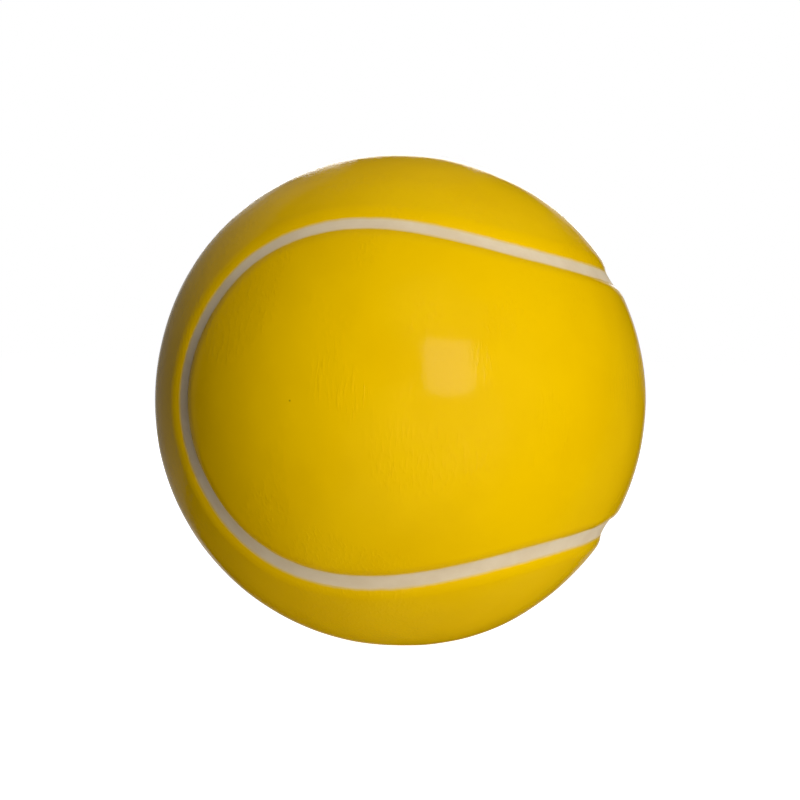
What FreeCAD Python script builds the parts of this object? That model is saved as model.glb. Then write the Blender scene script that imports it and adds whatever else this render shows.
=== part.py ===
import FreeCAD, Part
import math
import os

from BOPTools import SplitAPI

# A foam stress ball in the style of a tennis ball. Millimetres, +Z up.
# The origin is the middle of the small patch that the ball rests on.
# Panel A's waist lies towards +X and its two lobes towards -Y and +Y.
# Panel B's waist lies towards -X and its two lobes towards +Z and -Z.

# ---- driving dimensions ----
BALL_DIAMETER = 63.5
CONTACT_DIP = 0.25      # how far the foam flattens where it rests
COAT = 0.25             # yellow paint
SKIN = 1.5              # dense integral skin under the paint
GROOVE_DEPTH = 0.5      # from the ball's surface down to the seam line
GROOVE_WIDTH = 2.8
SEAM_PAINT = 0.15       # off-white paint on the groove's floor
HAIR_GAP = 0.02         # between the coats and the skin, which move apart

# The seam: with t once round, the share of the radius along X is
# SWEEP sin 2t + SHOULDER sin 6t, and the turn about X is t - FLARE sin 4t.
SWEEP = 0.900
SHOULDER = 0.040
FLARE = 0.322
SEAM_POINTS = 144       # interpolated points round the seam, a multiple of 4
HEADING_STEP = 0.001    # small step of t, to find which way the seam runs

RADIUS = BALL_DIAMETER / 2
CENTRE = FreeCAD.Vector(0, 0, RADIUS - CONTACT_DIP)
COAT_BACK = RADIUS - COAT + HAIR_GAP
SKIN_FACE = RADIUS - COAT
SKIN_BACK = SKIN_FACE - SKIN
LINE_FACE = RADIUS - GROOVE_DEPTH
LINE_BACK = LINE_FACE - SEAM_PAINT
WALL_INNER = 0.85 * RADIUS      # the cutting walls reach past every layer
WALL_OUTER = 1.10 * RADIUS


def seam_direction(t):
    """Unit vector from the ball's centre to the seam's middle line."""
    along = SWEEP * math.sin(2 * t) + SHOULDER * math.sin(6 * t)
    turn = t - FLARE * math.sin(4 * t) + math.pi / 4
    across = math.sqrt(1 - along ** 2)
    return FreeCAD.Vector(along, -across * math.cos(turn), -across * math.sin(turn))


def groove_edge(side):
    """Unit vectors along one edge of the groove; side is +1 towards panel A, -1 towards panel B."""
    half_angle = side * GROOVE_WIDTH / 2 / RADIUS
    step = 2 * math.pi / SEAM_POINTS
    edge = []
    for n in range(SEAM_POINTS):
        t = n * step
        middle = seam_direction(t)
        ahead = seam_direction(t + HEADING_STEP) - seam_direction(t - HEADING_STEP)
        sideways = middle.cross(ahead).normalize()
        edge.append(middle * math.cos(half_angle) + sideways * math.sin(half_angle))
    return edge


def groove_wall(side):
    """Surface made of the radial lines through one edge of the groove, all the way round."""
    rings = []
    for reach in (WALL_INNER, WALL_OUTER):
        curve = Part.BSplineCurve()
        points = [CENTRE + direction * reach for direction in groove_edge(side)]
        curve.interpolate(Points=points, PeriodicFlag=True)
        rings.append(curve.toShape())
    return Part.makeRuledSurface(rings[0], rings[1])


def layer_ball(radius):
    """The ball's surface at one depth, with its own contact flat."""
    flat_height = radius - CONTACT_DIP
    lowest = -math.degrees(math.asin(flat_height / radius))
    return Part.makeSphere(radius, CENTRE, FreeCAD.Vector(0, 0, 1), lowest, 90, 360)


def shell_between(outer, inner):
    """Closed shell from one layer of the ball to a deeper one."""
    return layer_ball(outer).cut(layer_ball(inner))


def split_at_groove(shell):
    """(panel A's piece, the groove's piece, panel B's piece) of a shell."""
    pieces = SplitAPI.slice(shell, [groove_wall(+1), groove_wall(-1)], "Split").Solids
    by_x = sorted(pieces, key=lambda piece: piece.CenterOfMass.x)
    return by_x[2], by_x[1], by_x[0]


def make_foam_core():
    return layer_ball(SKIN_BACK)


def make_moulded_skin():
    """Dense skin with the seam's channel moulded in it."""
    channel = split_at_groove(shell_between(RADIUS, LINE_BACK))[1]
    return shell_between(SKIN_FACE, SKIN_BACK).cut(channel)


def make_seam_line():
    return split_at_groove(shell_between(LINE_FACE, LINE_BACK))[1]


def make_panels():
    """Yellow coats of panel A and panel B."""
    panel_a, _, panel_b = split_at_groove(shell_between(RADIUS, COAT_BACK))
    return panel_a, panel_b


def write(name, shape):
    """Writes one node's STEP file, after a look at its soundness."""
    solids = shape.Solids
    if len(solids) != 1 or not solids[0].isValid():
        raise ValueError(name + " isn't one sound solid")
    solids[0].exportStep(os.path.join("parts", name + ".step"))
    print(name, "volume", round(solids[0].Volume, 1), "mm3")


os.makedirs("parts", exist_ok=True)
panel_a, panel_b = make_panels()
write("foam_core", make_foam_core())
write("moulded_skin", make_moulded_skin())
write("seam_line", make_seam_line())
write("panel_a", panel_a)
write("panel_b", panel_b)
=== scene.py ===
import math

import bpy
import numpy as np
from mathutils import Matrix, Vector, geometry


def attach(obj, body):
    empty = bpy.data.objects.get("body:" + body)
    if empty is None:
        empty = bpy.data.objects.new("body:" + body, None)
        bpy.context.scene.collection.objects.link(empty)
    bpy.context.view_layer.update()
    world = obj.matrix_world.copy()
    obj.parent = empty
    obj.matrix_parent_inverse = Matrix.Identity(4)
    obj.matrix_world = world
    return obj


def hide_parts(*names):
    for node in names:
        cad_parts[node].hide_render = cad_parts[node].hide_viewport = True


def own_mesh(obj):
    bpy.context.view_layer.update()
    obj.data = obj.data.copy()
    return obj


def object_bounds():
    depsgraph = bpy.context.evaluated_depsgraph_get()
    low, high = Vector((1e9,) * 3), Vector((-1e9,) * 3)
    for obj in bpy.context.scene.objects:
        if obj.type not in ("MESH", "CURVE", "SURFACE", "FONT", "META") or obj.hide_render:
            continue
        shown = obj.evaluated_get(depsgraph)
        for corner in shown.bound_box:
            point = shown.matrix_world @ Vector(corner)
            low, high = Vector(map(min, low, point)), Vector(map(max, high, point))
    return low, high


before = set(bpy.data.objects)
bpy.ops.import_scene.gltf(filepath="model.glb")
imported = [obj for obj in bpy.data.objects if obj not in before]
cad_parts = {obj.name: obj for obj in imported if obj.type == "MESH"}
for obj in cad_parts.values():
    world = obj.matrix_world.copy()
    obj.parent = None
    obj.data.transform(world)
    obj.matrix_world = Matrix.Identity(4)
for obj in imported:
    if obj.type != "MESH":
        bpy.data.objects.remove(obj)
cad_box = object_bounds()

# The stress ball's visual model. Metres, in the CAD model's own frame.
# Every layer of the ball is made on one set of directions from the ball's centre: rings that follow
# the seam, and two fields of points between them, one for each panel.

MM = 0.001
low, high = cad_box
RADIUS = (high[0] - low[0]) / 2
CENTRE = Vector((0, 0, high[2] - RADIUS))
CONTACT_HEIGHT = CENTRE.z       # from the floor to the ball's centre

# ---- the seam, as in the CAD model ----
SWEEP = 0.900
SHOULDER = 0.040
FLARE = 0.322
SEAM_STEPS = 1080               # points round each of the seam's rings
TANGENT_STEP = 1e-4             # of t, to find which way the seam runs

# ---- the painted line: half width on each panel's side at mid-height, and its growth to the foot ----
HALF_WIDTH_A = 1.22 * MM
HALF_WIDTH_B = 1.12 * MM
GROWTH_A = 0.10 * MM
GROWTH_B = 0.33 * MM
EDGE_WANDER = 0.07 * MM         # unevenness of the line's edges

# ---- the groove's section and the layers ----
GROOVE_DEPTH = 0.45 * MM
DEEPENING = 0.3                 # share of the depth gained from mid-height to the foot, and lost to the top
GROOVE_REACH = 3.0 * MM         # from the middle line to where the shoulder ends
BAND_REACH = 3.9 * MM           # how far the seam's own rings go
SEAM_RINGS = 9
SHOULDER_RINGS = 9
COAT = 0.16 * MM                # yellow paint, away from its edge
COAT_EDGE = 0.035 * MM
COAT_TAPER = 0.7 * MM
LINE_COAT = 0.06 * MM
SKIN_GAP = 0.01 * MM            # keeps the skin's face clear of the coats' backs
SKIN = 1.5 * MM
LINE_EDGE_COAT = 0.6 * COAT_EDGE
CORE_GAP = 0.12 * MM            # between the skin's back and the core's cells
CELL_ROUGHNESS = 0.05 * MM
CONTACT_ROUNDING = 0.02 * MM    # of the edge of the contact flat

# ---- spacing of the points on each surface ----
FIELD_SPACING = 0.5 * MM
FIELD_CLEARANCE = 0.6 * FIELD_SPACING   # between the seam's own rings and the fields
LINING_SPACING = 2.0 * MM
CORE_SPACING = 0.75 * MM
MERGE_DISTANCE = 1e-9           # for the triangulation
SHARP_EDGE = math.radians(50)


# ------------------------------------------------------------------ directions

def seam_curve(t):
    """Unit vectors from the centre to the seam's middle line."""
    along = SWEEP * np.sin(2 * t) + SHOULDER * np.sin(6 * t)
    turn = t - FLARE * np.sin(4 * t) + math.pi / 4
    across = np.sqrt(1 - along ** 2)
    return np.stack([along, -across * np.cos(turn), -across * np.sin(turn)], axis=-1)


def even_seam(count):
    """count directions at equal steps along the seam, and the unit vectors across it, towards panel A."""
    fine = np.linspace(0, 2 * math.pi, 20 * count + 1)
    lengths = np.linalg.norm(np.diff(seam_curve(fine), axis=0), axis=1)
    run = np.concatenate([[0], np.cumsum(lengths)])
    t = np.interp(np.arange(count) / count * run[-1], run, fine)
    middle = seam_curve(t)
    ahead = seam_curve(t + TANGENT_STEP) - seam_curve(t - TANGENT_STEP)
    across = np.cross(middle, ahead)
    across /= np.linalg.norm(across, axis=1, keepdims=True)
    return middle, across


def ring(middle, across, offset):
    """Directions at a distance from the seam's middle line; offset is one number or one for each point."""
    angle = np.broadcast_to(np.asarray(offset) / RADIUS, len(middle))[:, None]
    return middle * np.cos(angle) + across * np.sin(angle)


def waves(points, seed, count, shortest, longest):
    """Smooth seeded noise of about unit size: a sum of plane waves through the points, in metres."""
    rng = np.random.default_rng(seed)
    total = np.zeros(len(points))
    for _ in range(count):
        wave = rng.normal(size=3)
        wave *= 2 * math.pi / rng.uniform(shortest, longest) / np.linalg.norm(wave)
        total += np.cos(points @ wave + rng.uniform(0, 2 * math.pi))
    return total * math.sqrt(2 / count)


def lattice(spacing):
    """Evenly spread directions over the whole ball."""
    count = int(4 * math.pi * RADIUS ** 2 / (spacing ** 2 * math.sqrt(3) / 2))
    place = np.arange(count) + 0.5
    height = 1 - 2 * place / count
    turn = place * math.pi * (1 + math.sqrt(5))
    out = np.sqrt(1 - height ** 2)
    return np.stack([out * np.cos(turn), out * np.sin(turn), height], axis=-1)


def seam_distance(points, middle, across):
    """Signed distance from the seam's middle line, positive on panel A."""
    found = np.empty(len(points))
    chunk = 4000
    for first in range(0, len(points), chunk):
        some = points[first:first + chunk]
        nearest = np.argmax(some @ middle.T, axis=1)
        sine = np.einsum("ij,ij->i", some, across[nearest])
        found[first:first + chunk] = RADIUS * np.arcsin(np.clip(sine, -1, 1))
    return found


def fill(rim, inside, side):
    """Triangles between a closed rim and the points inside it, as rows of indices into rim + inside."""
    points = np.concatenate([rim, inside])
    flat = points[:, 1:] / (1 + side * points[:, :1])
    loop = [(n, (n + 1) % len(rim)) for n in range(len(rim))]
    made = geometry.delaunay_2d_cdt([Vector(p) for p in flat], loop, [], 1, MERGE_DISTANCE)
    source = np.array([origin[0] for origin in made[3]])
    return source[np.array(made[2])]


def outward(points, faces):
    """The same triangles, each turned so that its front faces away from the centre."""
    a, b, c = (points[faces[:, n]] for n in range(3))
    inward = np.einsum("ij,ij->i", np.cross(b - a, c - a), a + b + c) < 0
    faces = faces.copy()
    faces[inward] = faces[inward][:, ::-1]
    return faces


def line_edge(directions, side):
    """How far the painted line reaches from its middle, on panel A's side (positive) or panel B's."""
    height = directions[:, 2]
    towards_a = HALF_WIDTH_A - GROWTH_A * height
    towards_b = HALF_WIDTH_B - GROWTH_B * height
    return np.where(np.asarray(side) > 0, towards_a, towards_b)


def ball_grid():
    """(directions, distances from the seam, {"a", "seam", "b": triangles}) for the whole ball."""
    middle, across = even_seam(SEAM_STEPS)
    wander_a = EDGE_WANDER * waves(middle * RADIUS, 11, 24, 3 * MM, 14 * MM)
    wander_b = EDGE_WANDER * waves(middle * RADIUS, 12, 24, 3 * MM, 14 * MM)
    edges = {"a": line_edge(middle, 1) + wander_a, "b": -line_edge(middle, -1) + wander_b}
    offsets = []
    for share in np.linspace(1, 0, SHOULDER_RINGS + 1)[:-1]:
        offsets.append(edges["b"] + share * (-BAND_REACH - edges["b"]))
    for share in np.linspace(0, 1, SEAM_RINGS + 1):
        offsets.append(edges["b"] + share * (edges["a"] - edges["b"]))
    for share in np.linspace(0, 1, SHOULDER_RINGS + 1)[1:]:
        offsets.append(edges["a"] + share * (BAND_REACH - edges["a"]))
    points = [ring(middle, across, offset) for offset in offsets]
    distances = [np.asarray(offset) for offset in offsets]

    around = np.arange(SEAM_STEPS)
    following = (around + 1) % SEAM_STEPS
    faces = {"a": [], "seam": [], "b": []}
    for k in range(len(offsets) - 1):
        near, far = k * SEAM_STEPS, (k + 1) * SEAM_STEPS
        part = "b" if k < SHOULDER_RINGS else "seam" if k < SHOULDER_RINGS + SEAM_RINGS else "a"
        faces[part].append(np.stack([near + around, far + around, far + following], axis=-1))
        faces[part].append(np.stack([near + around, far + following, near + following], axis=-1))

    field = lattice(FIELD_SPACING)
    from_seam = seam_distance(field, middle, across)
    count = len(offsets) * SEAM_STEPS
    for part, side, rim_ring in (("a", 1, len(offsets) - 1), ("b", -1, 0)):
        keep = side * from_seam > BAND_REACH + FIELD_CLEARANCE
        made = fill(points[rim_ring], field[keep], side)
        on_rim = made < SEAM_STEPS
        made = np.where(on_rim, made + rim_ring * SEAM_STEPS, made - SEAM_STEPS + count)
        faces[part].append(made)
        points.append(field[keep])
        distances.append(from_seam[keep])
        count += keep.sum()
    points = np.concatenate(points)
    distances = np.concatenate(distances)
    faces = {part: outward(points, np.concatenate(rows)) for part, rows in faces.items()}
    return points, distances, faces


# ------------------------------------------------------------------ the ball's surface

BROAD_WAVES = 0.035 * MM
FINE_WAVES = 0.010 * MM
# Gentle lumps of a moulded foam ball: (direction, height, how far it spreads).
LUMPS = (
    ((-0.74, -0.10, 0.67), 0.16 * MM, 9 * MM),
    ((-0.99, -0.10, 0.05), -0.14 * MM, 8 * MM),
    ((0.26, -0.10, 0.96), 0.14 * MM, 11 * MM),
    ((0.38, -0.10, -0.92), 0.20 * MM, 7 * MM),
    ((0.62, 0.00, -0.78), -0.10 * MM, 4 * MM),
    ((0.30, 0.95, 0.10), -0.14 * MM, 10 * MM),
    ((-0.50, 0.80, -0.30), 0.12 * MM, 9 * MM),
)


def unevenness(directions):
    """Height of the ball's lumps over a true sphere."""
    height = BROAD_WAVES * waves(directions * RADIUS, 3, 40, 16 * MM, 40 * MM)
    height += FINE_WAVES * waves(directions * RADIUS, 4, 60, 4 * MM, 9 * MM)
    for towards, rise, width in LUMPS:
        towards = np.array(towards) / np.linalg.norm(towards)
        away = RADIUS * np.arccos(np.clip(directions @ towards, -1, 1))
        height += rise * np.exp(-0.5 * (away / width) ** 2)
    return height


def groove(directions, distances):
    """Depth of the moulded groove, a round-bottomed trough with soft shoulders, deeper at the foot."""
    share = np.clip(np.abs(distances) / GROOVE_REACH, 0, 1)
    depth = GROOVE_DEPTH * (1 - DEEPENING * directions[:, 2])
    return depth * (0.5 + 0.5 * np.cos(math.pi * share ** 1.15))


def coat(from_edge):
    """Thickness of the yellow paint, which thins towards its edge."""
    inside = np.clip(from_edge / COAT_TAPER, 0, 1)
    return COAT_EDGE + (COAT - COAT_EDGE) * inside * inside * (3 - 2 * inside)


def flattened(directions, reach, depth):
    """Points at a reach from the centre, flat where the ball rests; depth is how deep the layer lies."""
    points = directions * reach[:, None]
    floor = -(CONTACT_HEIGHT - depth)
    lift = points[:, 2] - floor
    points[:, 2] = floor + 0.5 * (lift + np.sqrt(lift ** 2 + CONTACT_ROUNDING ** 2))
    points[:, 2] -= 0.5 * CONTACT_ROUNDING
    return points + np.array(CENTRE)


# ------------------------------------------------------------------ meshes

def object_from(name, points, faces, from_edge=None):
    """A smooth piece; from_edge is each point's distance past the painted line's edge, in mm."""
    mesh = bpy.data.meshes.new(name)
    mesh.from_pydata(points.tolist(), [], faces.tolist())
    if from_edge is not None:
        mesh.attributes.new("from_edge", "FLOAT", "POINT").data.foreach_set("value", from_edge)
    mesh.validate()
    mesh.shade_smooth()
    mesh.set_sharp_from_angle(angle=SHARP_EDGE)
    piece = bpy.data.objects.new(name, mesh)
    bpy.context.scene.collection.objects.link(piece)
    return piece


def rim_edges(faces):
    """Directed edges that only one triangle uses."""
    edges = np.concatenate([faces[:, [0, 1]], faces[:, [1, 2]], faces[:, [2, 0]]])
    _, back, count = np.unique(np.sort(edges, axis=1), axis=0, return_inverse=True, return_counts=True)
    return edges[count[back.ravel()] == 1]


def closed_layer(name, faces, outer, inner, from_edge):
    """A closed sheet between two surfaces that share their triangles."""
    used, faces = np.unique(faces, return_inverse=True)
    faces = faces.reshape(-1, 3)
    shift = len(used)
    rim = rim_edges(faces)
    a, b = rim[:, 0], rim[:, 1]
    walls = np.concatenate([
        np.stack([b, a, a + shift], axis=-1),
        np.stack([b, a + shift, b + shift], axis=-1),
    ])
    every = np.concatenate([faces, faces[:, ::-1] + shift, walls])
    from_edge = np.tile(from_edge[used] / MM, 2)
    return object_from(name, np.concatenate([outer[used], inner[used]]), every, from_edge)


def closed_field(spacing):
    """Evenly spread directions, and the triangles that close them to a ball."""
    directions = lattice(spacing)
    triangles = []
    for side in (1, -1):
        keep = np.flatnonzero(side * directions[:, 0] > -3 * spacing / RADIUS)
        some = directions[keep]
        flat = some[:, 1:] / (1 + side * some[:, :1])
        made = geometry.delaunay_2d_cdt([Vector(p) for p in flat], [], [], 0, MERGE_DISTANCE)
        source = np.array([origin[0] for origin in made[3]])
        rows = keep[source[np.array(made[2])]]
        middle = directions[rows].mean(axis=1)[:, 0] * side
        triangles.append(rows[middle > 0])
    return directions, outward(directions, np.concatenate(triangles))


# ------------------------------------------------------------------ materials

EDGE_BLEND = (0.88, 0.64, 0.18, 1)      # where the yellow spray thins out over the line
SPRAY_ROUGHNESS = 0.3                   # mm by which the spray's edge wanders


def tree_of(name):
    """A new material, its node tree and its one shader."""
    material = bpy.data.materials.new(name)
    material.use_nodes = True
    tree = material.node_tree
    tree.nodes.clear()
    out = tree.nodes.new("ShaderNodeOutputMaterial")
    shader = tree.nodes.new("ShaderNodeBsdfPrincipled")
    tree.links.new(shader.outputs["BSDF"], out.inputs["Surface"])
    return material, tree, shader


def stretched(tree, turn, scale):
    """Object coordinates, turned and stretched; scale is in repeats per metre along each axis."""
    where = tree.nodes.new("ShaderNodeTexCoord")
    mapping = tree.nodes.new("ShaderNodeMapping")
    mapping.inputs["Rotation"].default_value = turn
    mapping.inputs["Scale"].default_value = scale
    tree.links.new(where.outputs["Object"], mapping.inputs["Vector"])
    return mapping.outputs["Vector"]


def noise(tree, vector, detail, roughness=0.5, distortion=0.0):
    """Noise that repeats about once in each unit of the vector."""
    node = tree.nodes.new("ShaderNodeTexNoise")
    node.inputs["Scale"].default_value = 1.0
    node.inputs["Detail"].default_value = detail
    node.inputs["Roughness"].default_value = roughness
    node.inputs["Distortion"].default_value = distortion
    tree.links.new(vector, node.inputs["Vector"])
    return node.outputs["Fac"]


def voronoi(tree, vector, feature="F1"):
    """Distances in cells of about one unit of the vector."""
    node = tree.nodes.new("ShaderNodeTexVoronoi")
    node.feature = feature
    node.inputs["Scale"].default_value = 1.0
    tree.links.new(vector, node.inputs["Vector"])
    return node.outputs["Distance"]


def spread(tree, value, from_low, from_high, to_low, to_high):
    """The value, eased from one range to another."""
    node = tree.nodes.new("ShaderNodeMapRange")
    node.interpolation_type = "SMOOTHSTEP"
    node.inputs["From Min"].default_value = from_low
    node.inputs["From Max"].default_value = from_high
    node.inputs["To Min"].default_value = to_low
    node.inputs["To Max"].default_value = to_high
    tree.links.new(value, node.inputs["Value"])
    return node.outputs["Result"]


def math_node(tree, operation, first, second):
    node = tree.nodes.new("ShaderNodeMath")
    node.operation = operation
    for socket, value in zip(node.inputs, (first, second)):
        if isinstance(value, (int, float)):
            socket.default_value = value
        else:
            tree.links.new(value, socket)
    return node.outputs["Value"]


def scaled(tree, value, factor):
    return math_node(tree, "MULTIPLY", value, factor)


def mix_colour(tree, factor, first, second):
    """From the first colour at 0 to the second at 1."""
    node = tree.nodes.new("ShaderNodeMix")
    node.data_type = "RGBA"
    tree.links.new(factor, node.inputs["Factor"])
    for socket, value in ((node.inputs[6], first), (node.inputs[7], second)):
        if isinstance(value, tuple):
            socket.default_value = value
        else:
            tree.links.new(value, socket)
    return node.outputs[2]


def bump(tree, shader, height, distance):
    node = tree.nodes.new("ShaderNodeBump")
    node.inputs["Distance"].default_value = distance
    node.inputs["Strength"].default_value = 1.0
    tree.links.new(height, node.inputs["Height"])
    tree.links.new(node.outputs["Normal"], shader.inputs["Normal"])


def sprayed_edge(tree, colour, first, last, other):
    """The colour, turning into the other one between two distances from the painted line's edge, in mm."""
    where = tree.nodes.new("ShaderNodeAttribute")
    where.attribute_name = "from_edge"
    rough = noise(tree, stretched(tree, (0, 0, 0), (700, 700, 700)), 3.0, 0.6)
    place = math_node(tree, "ADD", where.outputs["Fac"], scaled(tree, rough, SPRAY_ROUGHNESS))
    middle = SPRAY_ROUGHNESS / 2
    return mix_colour(tree, spread(tree, place, first + middle, last + middle, 0.0, 1.0), colour, other)


def brush_streaks(tree):
    """Short fine ridges that lie in a few patches, in three headings."""
    headings = (
        ((0.3, 0.5, 0.2), 21.0),
        ((1.1, -0.4, 0.9), 47.0),
        ((-0.6, 0.9, -0.7), 83.0),
    )
    total = None
    for turn, patch_turn in headings:
        fine = noise(tree, stretched(tree, turn, (2600, 2600, 420)), 2.0, 0.5, 0.4)
        patch = noise(tree, stretched(tree, (patch_turn, 0, 0), (70, 70, 70)), 1.0, 0.4)
        where = spread(tree, patch, 0.56, 0.66, 0.0, 1.0)
        ridge = math_node(tree, "MULTIPLY", spread(tree, fine, 0.45, 0.75, 0.0, 1.0), where)
        total = ridge if total is None else math_node(tree, "MAXIMUM", total, ridge)
    return total


def dark_specks(tree, colour):
    """The colour with a few tiny specks of dirt on it."""
    away = voronoi(tree, stretched(tree, (0.2, 0.7, 0.1), (170, 170, 170)))
    dot = spread(tree, away, 0.016, 0.03, 1.0, 0.0)
    rare = noise(tree, stretched(tree, (2.1, 0.3, 0.6), (55, 55, 55)), 0.0)
    dot = math_node(tree, "MULTIPLY", dot, spread(tree, rare, 0.60, 0.64, 0.0, 0.6))
    return mix_colour(tree, dot, colour, (0.30, 0.17, 0.01, 1))


def yellow_paint():
    material, tree, shader = tree_of("yellow_paint")
    cloud = noise(tree, stretched(tree, (0.4, 0.1, 0.3), (60, 60, 60)), 4.0, 0.55)
    grain = noise(tree, stretched(tree, (0, 0, 0), (900, 900, 900)), 3.0, 0.6)
    colour = mix_colour(tree, spread(tree, cloud, 0.35, 0.65, 0.0, 1.0),
                        (0.90, 0.552, 0.0, 1), (0.94, 0.588, 0.0, 1))
    colour = sprayed_edge(tree, EDGE_BLEND, -0.10, 0.26, dark_specks(tree, colour))
    tree.links.new(colour, shader.inputs["Base Color"])
    streaks = brush_streaks(tree)
    rough = math_node(tree, "ADD", spread(tree, cloud, 0.3, 0.7, 0.11, 0.14),
                      spread(tree, grain, 0.3, 0.7, -0.02, 0.02))
    rough = math_node(tree, "ADD", rough, scaled(tree, streaks, 0.1))
    tree.links.new(rough, shader.inputs["Roughness"])
    shader.inputs["Specular IOR Level"].default_value = 0.08
    peel = noise(tree, stretched(tree, (0, 0, 0), (420, 420, 420)), 2.0)
    height = math_node(tree, "ADD", scaled(tree, peel, 0.35), scaled(tree, streaks, 1.1))
    height = math_node(tree, "ADD", height, scaled(tree, grain, 0.12))
    bump(tree, shader, height, 0.02 * MM)
    return material


def seam_paint():
    material, tree, shader = tree_of("seam_paint")
    cloud = noise(tree, stretched(tree, (0.2, 0.6, 0.1), (260, 260, 260)), 4.0, 0.6)
    grain = noise(tree, stretched(tree, (0, 0, 0), (2200, 2200, 2200)), 3.0, 0.6)
    colour = mix_colour(tree, spread(tree, cloud, 0.35, 0.7, 0.0, 1.0),
                        (0.90, 0.76, 0.54, 1), (0.84, 0.69, 0.47, 1))
    colour = sprayed_edge(tree, colour, -0.46, 0.10, EDGE_BLEND)
    tree.links.new(colour, shader.inputs["Base Color"])
    tree.links.new(spread(tree, grain, 0.3, 0.7, 0.5, 0.66), shader.inputs["Roughness"])
    shader.inputs["Specular IOR Level"].default_value = 0.3
    height = math_node(tree, "ADD", scaled(tree, cloud, 0.7), scaled(tree, grain, 0.5))
    bump(tree, shader, height, 0.03 * MM)
    return material


def skin_foam():
    """Dense moulded foam with fine closed pores, painted darker inside as painted shade."""
    material, tree, shader = tree_of("skin_foam")
    cloud = noise(tree, stretched(tree, (0.5, 0.2, 0.4), (150, 150, 150)), 5.0, 0.6)
    pores = voronoi(tree, stretched(tree, (0, 0, 0), (2500, 2500, 2500)))
    pore_and_shade = spread(tree, pores, 0.05, 0.22, 1.0, 0.0)
    colour = mix_colour(tree, spread(tree, cloud, 0.3, 0.7, 0.0, 1.0),
                        (0.78, 0.74, 0.64, 1), (0.70, 0.65, 0.53, 1))
    # painted shade: the pores' hollows are darkened in the colour, as well as dented by the bump
    colour = mix_colour(tree, pore_and_shade, colour, (0.48, 0.42, 0.31, 1))
    tree.links.new(colour, shader.inputs["Base Color"])
    tree.links.new(spread(tree, cloud, 0.3, 0.7, 0.42, 0.55), shader.inputs["Roughness"])
    bump(tree, shader, math_node(tree, "SUBTRACT", cloud, pore_and_shade), 0.03 * MM)
    return material


def open_foam():
    """Soft foam with open cells of two sizes, with painted shade in the cells' hollows and painted light on
    their walls.
    """
    material, tree, shader = tree_of("open_foam")
    cloud = noise(tree, stretched(tree, (0.1, 0.4, 0.7), (120, 120, 120)), 5.0, 0.6)
    height = None
    for size in (1400, 3200):
        cells = voronoi(tree, stretched(tree, (0, 0, 0), (size, size, size)), "DISTANCE_TO_EDGE")
        walls = spread(tree, cells, 0.02, 0.22, 1.0, 0.0)
        height = walls if height is None else math_node(tree, "MAXIMUM", height, walls)
    colour = mix_colour(tree, spread(tree, cloud, 0.3, 0.7, 0.0, 1.0),
                        (0.66, 0.58, 0.42, 1), (0.58, 0.49, 0.33, 1))
    # painted light and shade: the cells' walls are painted lighter and their hollows stay darker
    colour = mix_colour(tree, height, colour, (0.82, 0.75, 0.60, 1))
    tree.links.new(colour, shader.inputs["Base Color"])
    tree.links.new(spread(tree, cloud, 0.3, 0.7, 0.8, 0.95), shader.inputs["Roughness"])
    bump(tree, shader, height, 0.15 * MM)
    return material


# ------------------------------------------------------------------ pieces


def finish_piece(piece, body, node, material):
    """Paints a piece, hangs it on its body and hides the CAD part that it replaces."""
    piece.data.materials.append(material)
    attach(piece, body)
    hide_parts(node)
    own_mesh(piece)


def make_ball():
    """The five pieces, from the coats in to the core."""
    directions, distances, faces = ball_grid()
    from_edge = np.abs(distances) - line_edge(directions, distances)
    base = RADIUS - COAT + unevenness(directions) - groove(directions, distances)
    back = flattened(directions, base, COAT)
    paint = flattened(directions, base + coat(from_edge), 0.0)
    inwards = np.clip(-from_edge / HALF_WIDTH_A, 0, 1)
    line_coat = LINE_EDGE_COAT + (LINE_COAT - LINE_EDGE_COAT) * np.sqrt(inwards)
    line = flattened(directions, base + line_coat, 0.0)

    yellow = yellow_paint()
    for part, anchor in (("a", RADIUS), ("b", -RADIUS)):
        panel = closed_layer("yellow_panel_" + part, faces[part], paint, back, from_edge)
        finish_piece(panel, "side_" + part, "panel_" + part, yellow)

    strip = closed_layer("off_white_seam_line", faces["seam"], line, back, from_edge)
    finish_piece(strip, "middle", "seam_line", seam_paint())

    every = np.concatenate([faces["a"], faces["seam"], faces["b"]])
    outer = flattened(directions, base - SKIN_GAP, COAT + SKIN_GAP)
    coarse, coarse_faces = closed_field(LINING_SPACING)
    lining = flattened(coarse, np.full(len(coarse), RADIUS - COAT - SKIN), COAT + SKIN)
    skin_points = np.concatenate([outer, lining])
    skin_faces = np.concatenate([every, coarse_faces[:, ::-1] + len(outer)])
    skin = object_from("integral_foam_skin", skin_points, skin_faces)
    finish_piece(skin, "middle", "moulded_skin", skin_foam())

    cells, cell_faces = closed_field(CORE_SPACING)
    reach = RADIUS - COAT - SKIN - CORE_GAP
    reach = reach + CELL_ROUGHNESS * waves(cells * RADIUS, 8, 50, 1.6 * MM, 3 * MM)
    core = object_from("foam_core_body", flattened(cells, reach, COAT + SKIN + CORE_GAP), cell_faces)
    finish_piece(core, "middle", "foam_core", open_foam())


# ------------------------------------------------------------------ stage, light, camera

CAMERA_REACH = RADIUS / 0.0658      # from the ball's centre
# small turn from straight in front, radians about X, Y and Z
CAMERA_TURN = Vector((-0.0203, -0.0113, 0.0177))
BALL_SHARE = 0.614                  # the ball's width over the picture's width

LIGHT_REACH = 0.9                   # from the ball's centre to every light
PLAIN = (1.0, 1.0, 1.0)
SOFT = (1.0, 0.95, 0.88)
WARM = (1.0, 0.89, 0.75)
WIDE = 1.46
NARROW = 0.69
FLOOR_HALF = 4.0
FLOOR_DROP = 0.02 * MM              # keeps the floor clear of the ball's contact flat


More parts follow.
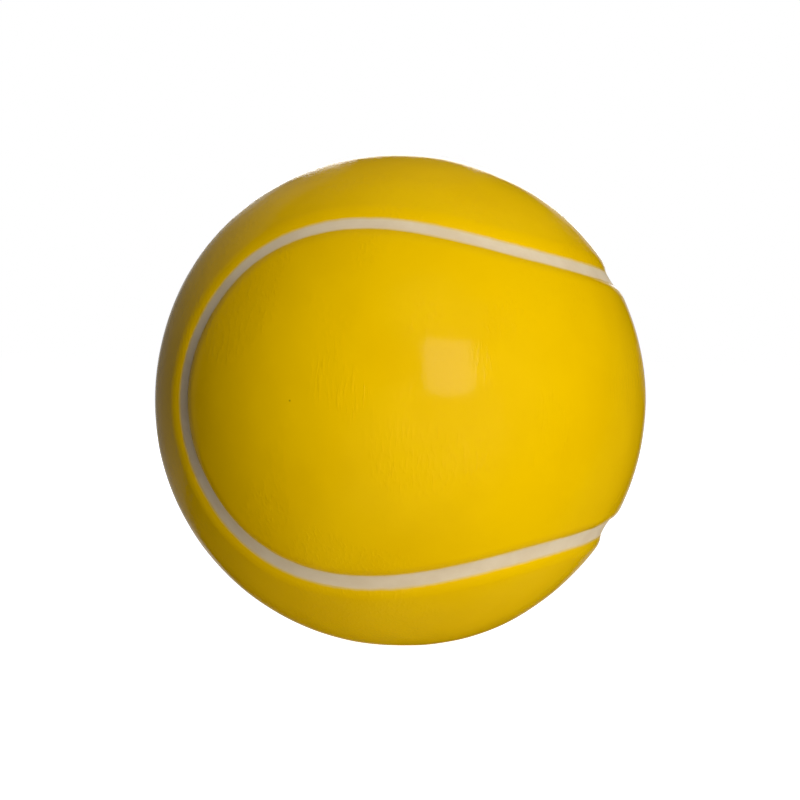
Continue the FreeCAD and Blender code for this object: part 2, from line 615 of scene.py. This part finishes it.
def heading(side_degrees, lift_degrees):
    """Unit vector from the ball towards a place that is so far right of the front, and so far up."""
    side, lift = math.radians(side_degrees), math.radians(lift_degrees)
    return Vector((math.sin(side) * math.cos(lift), -math.cos(side) * math.cos(lift), math.sin(lift)))


def aim(thing):
    """Turns a light towards the ball's centre."""
    look = (CENTRE - thing.location).to_track_quat("-Z", "Y").to_matrix().to_4x4()
    thing.matrix_world = Matrix.Translation(thing.location) @ look


def make_camera():
    """Almost straight in front of the ball."""
    camera = bpy.data.objects.new("camera", bpy.data.cameras.new("camera"))
    bpy.context.scene.collection.objects.link(camera)
    turn = Matrix.Rotation(CAMERA_TURN.length, 4, CAMERA_TURN.normalized())
    back = Matrix.Translation((0, -CAMERA_REACH, 0)) @ Matrix.Rotation(math.pi / 2, 4, "X")
    camera.matrix_world = Matrix.Translation(CENTRE) @ turn @ back
    half_ball = RADIUS / math.sqrt(CAMERA_REACH ** 2 - RADIUS ** 2)
    camera.data.lens = camera.data.sensor_width / 2 * BALL_SHARE / half_ball
    camera.data.clip_start = 0.01
    bpy.context.scene.camera = camera


def soft_box(name, side, lift, width, height, power, colour=PLAIN, shape="RECTANGLE"):
    """A soft light that faces the ball."""
    lamp = bpy.data.lights.new(name, "AREA")
    lamp.shape = shape
    lamp.size = width
    lamp.size_y = height
    lamp.energy = power
    lamp.color = colour
    light = bpy.data.objects.new(name, lamp)
    bpy.context.scene.collection.objects.link(light)
    light.location = CENTRE + LIGHT_REACH * heading(side, lift)
    aim(light)
    light.visible_camera = False
    return light


# The tent's lit panels, too even to show in the gloss:
# (name, degrees right of the front, degrees up, diameter, power, colour).
PANELS = (
    ("front_high", 20, 40, NARROW, 1.48, WARM),
    ("front_wide", 34, 6, WIDE, 2.75, PLAIN),
    ("front_low", 30, -10, NARROW, 0.66, PLAIN),
    ("front_right", 40, 0, NARROW, 0.46, PLAIN),
    ("right_high", 54, 39, WIDE, 0.30, PLAIN),
    ("front_foot", 14, -26, WIDE, 3.30, SOFT),
    ("foot", -6, -75, WIDE, 1.45, SOFT),
    ("back_right", 151, -22, WIDE, 3.43, PLAIN),
    ("back_top", 180, 60, WIDE, 3.54, PLAIN),
    ("back_middle", 171, 10, WIDE, 1.55, WARM),
    ("back_high", -169, 44, WIDE, 1.18, WARM),
    ("back_low", -176, -44, WIDE, 6.90, WARM),
)
# What shows only in the gloss: (name, degrees right of the front, degrees up, size, power).
SHEENS = (
    ("wall_behind", 180, 3, 0.55, 0.40),
    ("wall_beside", -136, 14, 1.00, 0.55),
    ("wall_above", -172, 42, 0.60, 0.04),
)


def make_world():
    """Plain white where the camera sees past the ball; all of the light comes from the lamps."""
    world = bpy.data.worlds.new("white_surround")
    world.use_nodes = True
    bpy.context.scene.world = world
    tree = world.node_tree
    tree.nodes.clear()
    out = tree.nodes.new("ShaderNodeOutputWorld")
    ray = tree.nodes.new("ShaderNodeLightPath")
    white = tree.nodes.new("ShaderNodeBackground")
    white.inputs["Color"].default_value = (1, 1, 1, 1)
    tree.links.new(ray.outputs["Is Camera Ray"], white.inputs["Strength"])
    tree.links.new(white.outputs["Background"], out.inputs["Surface"])


def make_floor():
    """A pale floor that glows as bright as the white round it, so that the ball has no shadow."""
    material, tree, shader = tree_of("pale_floor")
    grain = noise(tree, stretched(tree, (0, 0, 0), (40, 40, 40)), 3.0, 0.6)
    colour = mix_colour(tree, grain, (0.62, 0.62, 0.62, 1), (0.58, 0.58, 0.58, 1))
    tree.links.new(colour, shader.inputs["Base Color"])
    shader.inputs["Roughness"].default_value = 0.8
    shader.inputs["Specular IOR Level"].default_value = 0.0
    shader.inputs["Emission Color"].default_value = (1, 1, 1, 1)
    shader.inputs["Emission Strength"].default_value = 1.0
    mesh = bpy.data.meshes.new("floor")
    corners = [(x * FLOOR_HALF, y * FLOOR_HALF, 0) for x, y in ((-1, -1), (1, -1), (1, 1), (-1, 1))]
    mesh.from_pydata(corners, [], [(0, 1, 2, 3)])
    mesh.materials.append(material)
    floor = bpy.data.objects.new("floor", mesh)
    floor.location.z = -FLOOR_DROP
    floor.visible_diffuse = False
    floor.visible_glossy = False
    floor.visible_shadow = False
    bpy.context.scene.collection.objects.link(floor)


def make_stage():
    make_floor()
    make_world()
    soft_box("key", 24.5, 17, 0.33, 0.35, 2.05)
    soft_box("back_key", 180, 12, 0.27, 0.285, 0.50)
    for name, side, lift, size, power, colour in PANELS:
        panel = soft_box(name, side, lift, size, size, power, colour, "ELLIPSE")
        panel.visible_glossy = False
    for name, side, lift, size, power in SHEENS:
        sheen = soft_box(name, side, lift, size, size, power)
        sheen.visible_diffuse = False


bpy.context.scene.view_settings.view_transform = "Standard"
make_camera()
make_stage()
make_ball()
